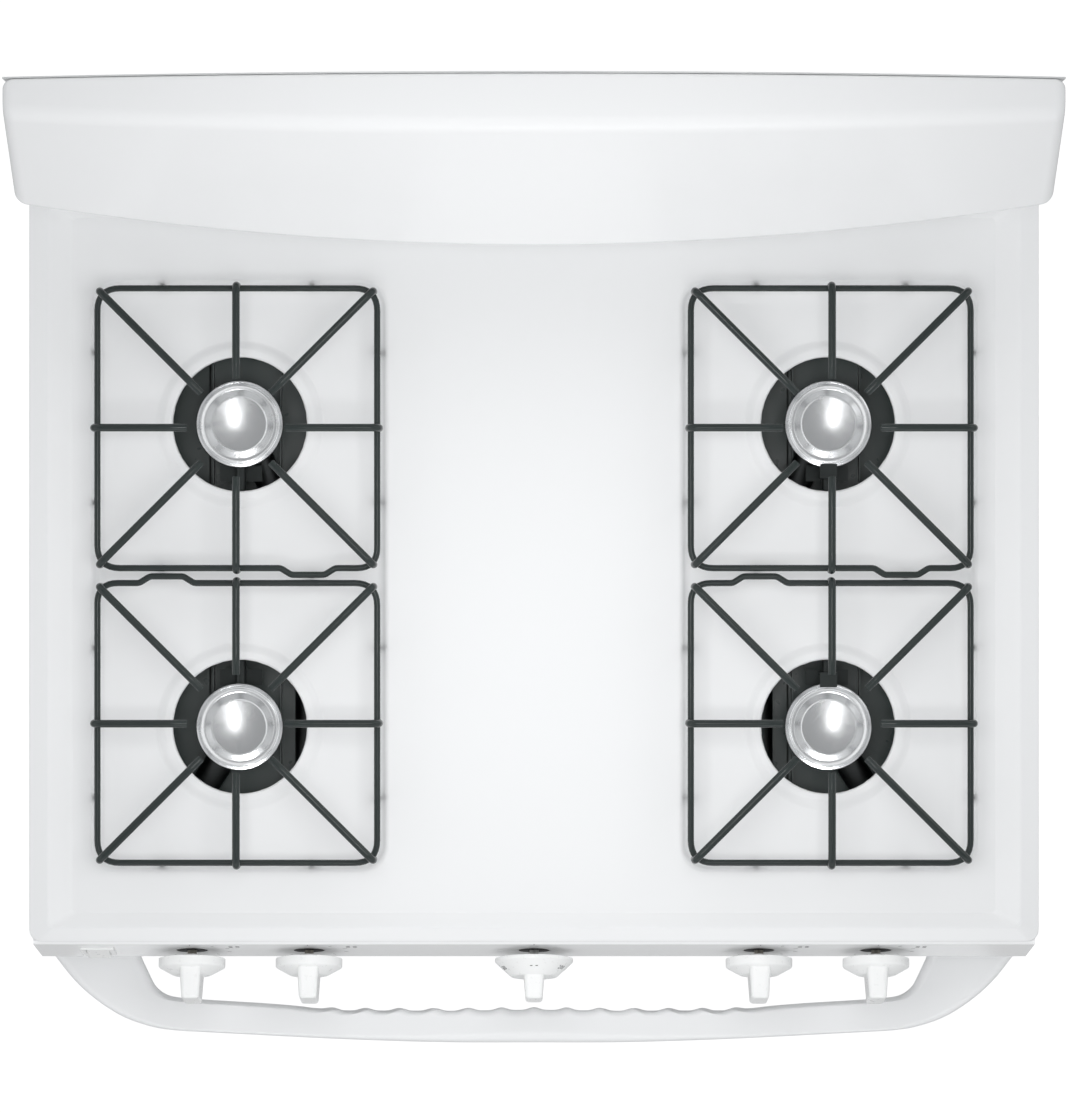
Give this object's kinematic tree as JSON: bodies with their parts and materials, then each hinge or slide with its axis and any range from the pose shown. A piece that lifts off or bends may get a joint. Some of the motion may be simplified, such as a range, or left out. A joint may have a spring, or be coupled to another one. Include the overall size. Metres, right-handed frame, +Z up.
{
  "type": "gas range",
  "caption": "Freestanding gas cooking range with an open-burner cooktop, wire grates, a backguard, a drop-down oven door and a broiler drawer.",
  "frame": {"origin": "on the floor under the middle of the overall box", "axes": "+Z up, -Y towards the cook, +X to the cook's right"},
  "size_m": [0.762, 0.724, 1.145],
  "materials": {
    "white_enamel": "gloss",
    "white_handle": "gloss",
    "white_plastic": "gloss",
    "galvanised_sheet": "satin",
    "dark_enamel": "gloss",
    "black_paint": "satin",
    "grate_enamel": "satin",
    "burner_metal": "satin",
    "plain_steel": "satin",
    "valve_metal": "satin",
    "rack_wire": "polished",
    "igniter": "matte",
    "lamp_glass": "gloss",
    "window_glass": "gloss",
    "seal": "matte",
    "glass_wool": "matte",
    "screw_steel": "satin",
    "black_plastic": "matte",
    "leg_metal": "satin"
  },
  "bodies": {
    "chassis": {"back_panel": "galvanised_sheet", "backguard": "white_enamel", "backguard_back": "galvanised_sheet", "base_frame": "galvanised_sheet", "burner_box": "black_paint", "burner_caps": "burner_metal", "control_panel": "white_enamel", "cord_gland": "black_plastic", "flame_spreader": "plain_steel", "flash_tubes": "plain_steel", "front_frame": "dark_enamel", "gas_tubes": "plain_steel", "gas_valves": "valve_metal", "insulation": "glass_wool", "manifold_pipe": "plain_steel", "oven_bottom": "dark_enamel", "oven_burner": "plain_steel", "oven_igniter": "igniter", "oven_lamp": "lamp_glass", "oven_liner": "dark_enamel", "pressure_regulator": "plain_steel", "screws": "screw_steel", "side_panel_left": "white_enamel", "side_panel_right": "white_enamel", "surface_burners": "burner_metal", "switch_housing": "white_plastic", "thermostat_valve": "plain_steel", "vent_riser": "galvanised_sheet"},
    "door": {"door_panel": "white_enamel", "door_window": "window_glass", "door_liner": "dark_enamel", "door_inner_window": "window_glass", "door_gasket": "seal", "door_handle": "white_handle", "door_hinge_arms": "plain_steel"},
    "drawer": {"drawer_front": "white_enamel", "drawer_box": "galvanised_sheet", "broiler_pan": "dark_enamel", "broiler_grid": "dark_enamel"},
    "rack_lower": {"oven_rack_lower": "rack_wire"},
    "rack_upper": {"oven_rack_upper": "rack_wire"},
    "cooktop": {"cooktop": "white_enamel"},
    "oven_dial": {"oven_knob": "white_plastic"},
    "oven_light_rocker": {"rocker_switch": "white_plastic"},
    "grate_left_front": {"grate_left_front": "grate_enamel"},
    "tap_stem_left_front": {"stem_left_front": "valve_metal"},
    "tap_knob_left_front": {"knob_left_front": "white_plastic"},
    "foot_left_front": {"leg_left_front": "leg_metal"},
    "grate_left_rear": {"grate_left_rear": "grate_enamel"},
    "tap_stem_left_rear": {"stem_left_rear": "valve_metal"},
    "tap_knob_left_rear": {"knob_left_rear": "white_plastic"},
    "foot_left_rear": {"leg_left_rear": "leg_metal"},
    "grate_right_front": {"grate_right_front": "grate_enamel"},
    "tap_stem_right_front": {"stem_right_front": "valve_metal"},
    "tap_knob_right_front": {"knob_right_front": "white_plastic"},
    "foot_right_front": {"leg_right_front": "leg_metal"},
    "grate_right_rear": {"grate_right_rear": "grate_enamel"},
    "tap_stem_right_rear": {"stem_right_rear": "valve_metal"},
    "tap_knob_right_rear": {"knob_right_rear": "white_plastic"},
    "foot_right_rear": {"leg_right_rear": "leg_metal"}
  },
  "joints": [
    {"name": "oven_door_hinge", "type": "hinge", "parent": "chassis", "child": "door", "pos_m": [0, -0.268, 0.246], "axis": [1, 0, 0], "range_deg": [0, 90], "stiffness_Nm_per_rad": 9, "springref_deg": -34.38},
    {"name": "broiler_drawer_slide", "type": "slide", "parent": "chassis", "child": "drawer", "axis": [0, -1, 0], "range_m": [0, 0.38]},
    {"name": "rack_lower_slide", "type": "slide", "parent": "chassis", "child": "rack_lower", "axis": [0, -1, 0], "range_m": [0, 0.255]},
    {"name": "rack_upper_slide", "type": "slide", "parent": "chassis", "child": "rack_upper", "axis": [0, -1, 0], "range_m": [0, 0.255]},
    {"name": "cooktop_lift", "type": "hinge", "parent": "chassis", "child": "cooktop", "pos_m": [0, 0.288, 0.9], "axis": [1, 0, 0], "range_deg": [-30, 0]},
    {"name": "oven_dial_turn", "type": "hinge", "parent": "chassis", "child": "oven_dial", "pos_m": [0, -0.28158, 0.869], "axis": [0, -0.9785, 0.206], "range_deg": [0, 290]},
    {"name": "oven_light_rock", "type": "hinge", "parent": "chassis", "child": "oven_light_rocker", "pos_m": [-0.332, -0.27766, 0.86818], "axis": [1, 0, 0], "range_deg": [0, 16]},
    {"name": "grate_left_front_lift", "type": "slide", "parent": "cooktop", "child": "grate_left_front", "axis": [0, 0, 1], "range_m": [0, 0.05]},
    {"name": "tap_push_left_front", "type": "slide", "parent": "chassis", "child": "tap_stem_left_front", "axis": [0, 0.9785, -0.206], "range_m": [0, 0.003], "stiffness_N_per_m": 2500, "springref_m": -0.002},
    {"name": "tap_turn_left_front", "type": "hinge", "parent": "tap_stem_left_front", "child": "tap_knob_left_front", "pos_m": [-0.2607, -0.28158, 0.869], "axis": [0, -0.9785, 0.206], "range_deg": [0, 210]},
    {"name": "foot_left_front_level", "type": "slide", "parent": "chassis", "child": "foot_left_front", "axis": [0, 0, -1], "range_m": [0, 0.02]},
    {"name": "grate_left_rear_lift", "type": "slide", "parent": "cooktop", "child": "grate_left_rear", "axis": [0, 0, 1], "range_m": [0, 0.05]},
    {"name": "tap_push_left_rear", "type": "slide", "parent": "chassis", "child": "tap_stem_left_rear", "axis": [0, 0.9785, -0.206], "range_m": [0, 0.003], "stiffness_N_per_m": 2500, "springref_m": -0.002},
    {"name": "tap_turn_left_rear", "type": "hinge", "parent": "tap_stem_left_rear", "child": "tap_knob_left_rear", "pos_m": [-0.1715, -0.28158, 0.869], "axis": [0, -0.9785, 0.206], "range_deg": [0, 210]},
    {"name": "foot_left_rear_level", "type": "slide", "parent": "chassis", "child": "foot_left_rear", "axis": [0, 0, -1], "range_m": [0, 0.02]},
    {"name": "grate_right_front_lift", "type": "slide", "parent": "cooktop", "child": "grate_right_front", "axis": [0, 0, 1], "range_m": [0, 0.05]},
    {"name": "tap_push_right_front", "type": "slide", "parent": "chassis", "child": "tap_stem_right_front", "axis": [0, 0.9785, -0.206], "range_m": [0, 0.003], "stiffness_N_per_m": 2500, "springref_m": -0.002},
    {"name": "tap_turn_right_front", "type": "hinge", "parent": "tap_stem_right_front", "child": "tap_knob_right_front", "pos_m": [0.2607, -0.28158, 0.869], "axis": [0, -0.9785, 0.206], "range_deg": [0, 210]},
    {"name": "foot_right_front_level", "type": "slide", "parent": "chassis", "child": "foot_right_front", "axis": [0, 0, -1], "range_m": [0, 0.02]},
    {"name": "grate_right_rear_lift", "type": "slide", "parent": "cooktop", "child": "grate_right_rear", "axis": [0, 0, 1], "range_m": [0, 0.05]},
    {"name": "tap_push_right_rear", "type": "slide", "parent": "chassis", "child": "tap_stem_right_rear", "axis": [0, 0.9785, -0.206], "range_m": [0, 0.003], "stiffness_N_per_m": 2500, "springref_m": -0.002},
    {"name": "tap_turn_right_rear", "type": "hinge", "parent": "tap_stem_right_rear", "child": "tap_knob_right_rear", "pos_m": [0.1715, -0.28158, 0.869], "axis": [0, -0.9785, 0.206], "range_deg": [0, 210]},
    {"name": "foot_right_rear_level", "type": "slide", "parent": "chassis", "child": "foot_right_rear", "axis": [0, 0, -1], "range_m": [0, 0.02]}
  ],
  "couplings": [
    {"joint": "rack_lower_slide", "follows": "oven_door_hinge", "m_per_rad": 0.16},
    {"joint": "rack_upper_slide", "follows": "oven_door_hinge", "m_per_rad": 0.16}
  ]
}
